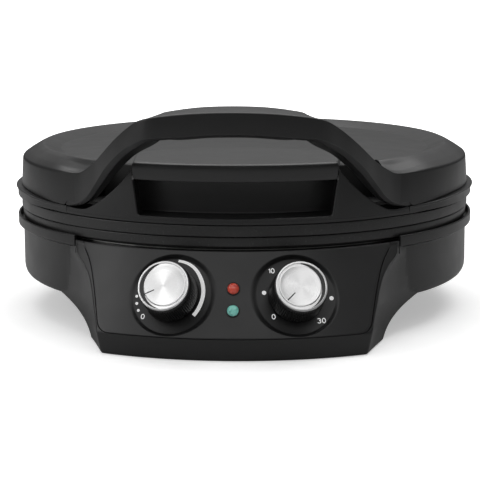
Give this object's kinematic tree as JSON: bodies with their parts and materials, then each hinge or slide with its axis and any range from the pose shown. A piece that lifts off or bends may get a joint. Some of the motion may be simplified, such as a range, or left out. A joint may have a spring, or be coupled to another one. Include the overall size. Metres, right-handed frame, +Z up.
{
  "type": "electric pizza maker",
  "caption": "Round clamshell pizza maker: bowl base with a front control block, dials and lamps, and a hinged lid with an arched handle and a finger recess.",
  "frame": {"origin": "on the table, at the middle of the part's footprint", "axes": "+Z up, front with the dials toward -Y, hinge toward +Y, right-hand dial toward +X"},
  "size_m": [0.351, 0.4114, 0.1701],
  "materials": {
    "black_plastic": "satin black moulding",
    "panel_plastic": "satin black moulding, printed",
    "plate_coating": "non-stick coating on a cast plate",
    "sheet_steel": "zinc-plated sheet",
    "heater_steel": "dark oxidised tube",
    "spun_aluminium": "spun, with fine rings",
    "pad_rubber": "matt",
    "red_lens": "clear red dome",
    "green_lens": "clear green dome",
    "pale_plastic": "heat-resistant moulding"
  },
  "bodies": {
    "base": {"base_housing": "black_plastic", "bottom_cover": "black_plastic", "hinge_bracket": "black_plastic", "rear_leg_left": "black_plastic", "rear_leg_right": "black_plastic", "control_panel": "panel_plastic", "lower_plate": "plate_coating", "lower_reflector": "sheet_steel", "temperature_nut": "sheet_steel", "timer_nut": "sheet_steel", "thermostat_body": "sheet_steel", "timer_body": "sheet_steel", "timer_bell": "sheet_steel", "hinge_pin": "sheet_steel", "lower_element_clip_1": "sheet_steel", "lower_element_clip_2": "sheet_steel", "lower_element_clip_3": "sheet_steel", "cover_screw_1": "sheet_steel", "cover_screw_2": "sheet_steel", "cover_screw_3": "sheet_steel", "cover_screw_4": "sheet_steel", "lower_element": "heater_steel", "rear_pad_left": "pad_rubber", "rear_pad_right": "pad_rubber", "front_pad_left": "pad_rubber", "front_pad_right": "pad_rubber", "cord_gland": "pad_rubber", "red_lamp_lens": "red_lens", "green_lamp_lens": "green_lens", "red_lamp_holder": "pale_plastic", "green_lamp_holder": "pale_plastic", "terminal_block": "pale_plastic"},
    "lid": {"lid_housing": "black_plastic", "lid_rim": "black_plastic", "front_apron": "black_plastic", "nose_cap": "black_plastic", "handle_underside_cover": "black_plastic", "upper_plate": "plate_coating", "upper_reflector": "sheet_steel", "upper_element": "heater_steel", "upper_element_clip_1": "sheet_steel", "upper_element_clip_2": "sheet_steel", "upper_element_clip_3": "sheet_steel", "lid_hinge_arm_left": "black_plastic", "lid_hinge_arm_right": "black_plastic"},
    "temperature_dial": {"temperature_knob": "black_plastic", "temperature_knob_cap": "spun_aluminium", "temperature_shaft": "sheet_steel"},
    "timer_dial": {"timer_knob": "black_plastic", "timer_knob_cap": "spun_aluminium", "timer_shaft": "sheet_steel"}
  },
  "joints": [
    {"name": "lid_hinge", "type": "hinge", "parent": "base", "child": "lid", "pos_m": [0, 0.19855, 0.08], "axis": [-1, 0, 0], "range_deg": [0, 100]},
    {"name": "temperature_turn", "type": "hinge", "parent": "base", "child": "temperature_dial", "pos_m": [-0.04287, -0.17813, 0.0418], "axis": [0.194, 0.8402, -0.5063], "range_deg": [-10, 268]},
    {"name": "timer_turn", "type": "hinge", "parent": "base", "child": "timer_dial", "pos_m": [0.04287, -0.17813, 0.0418], "axis": [-0.194, 0.8402, -0.5063], "range_deg": [0, 268]}
  ]
}
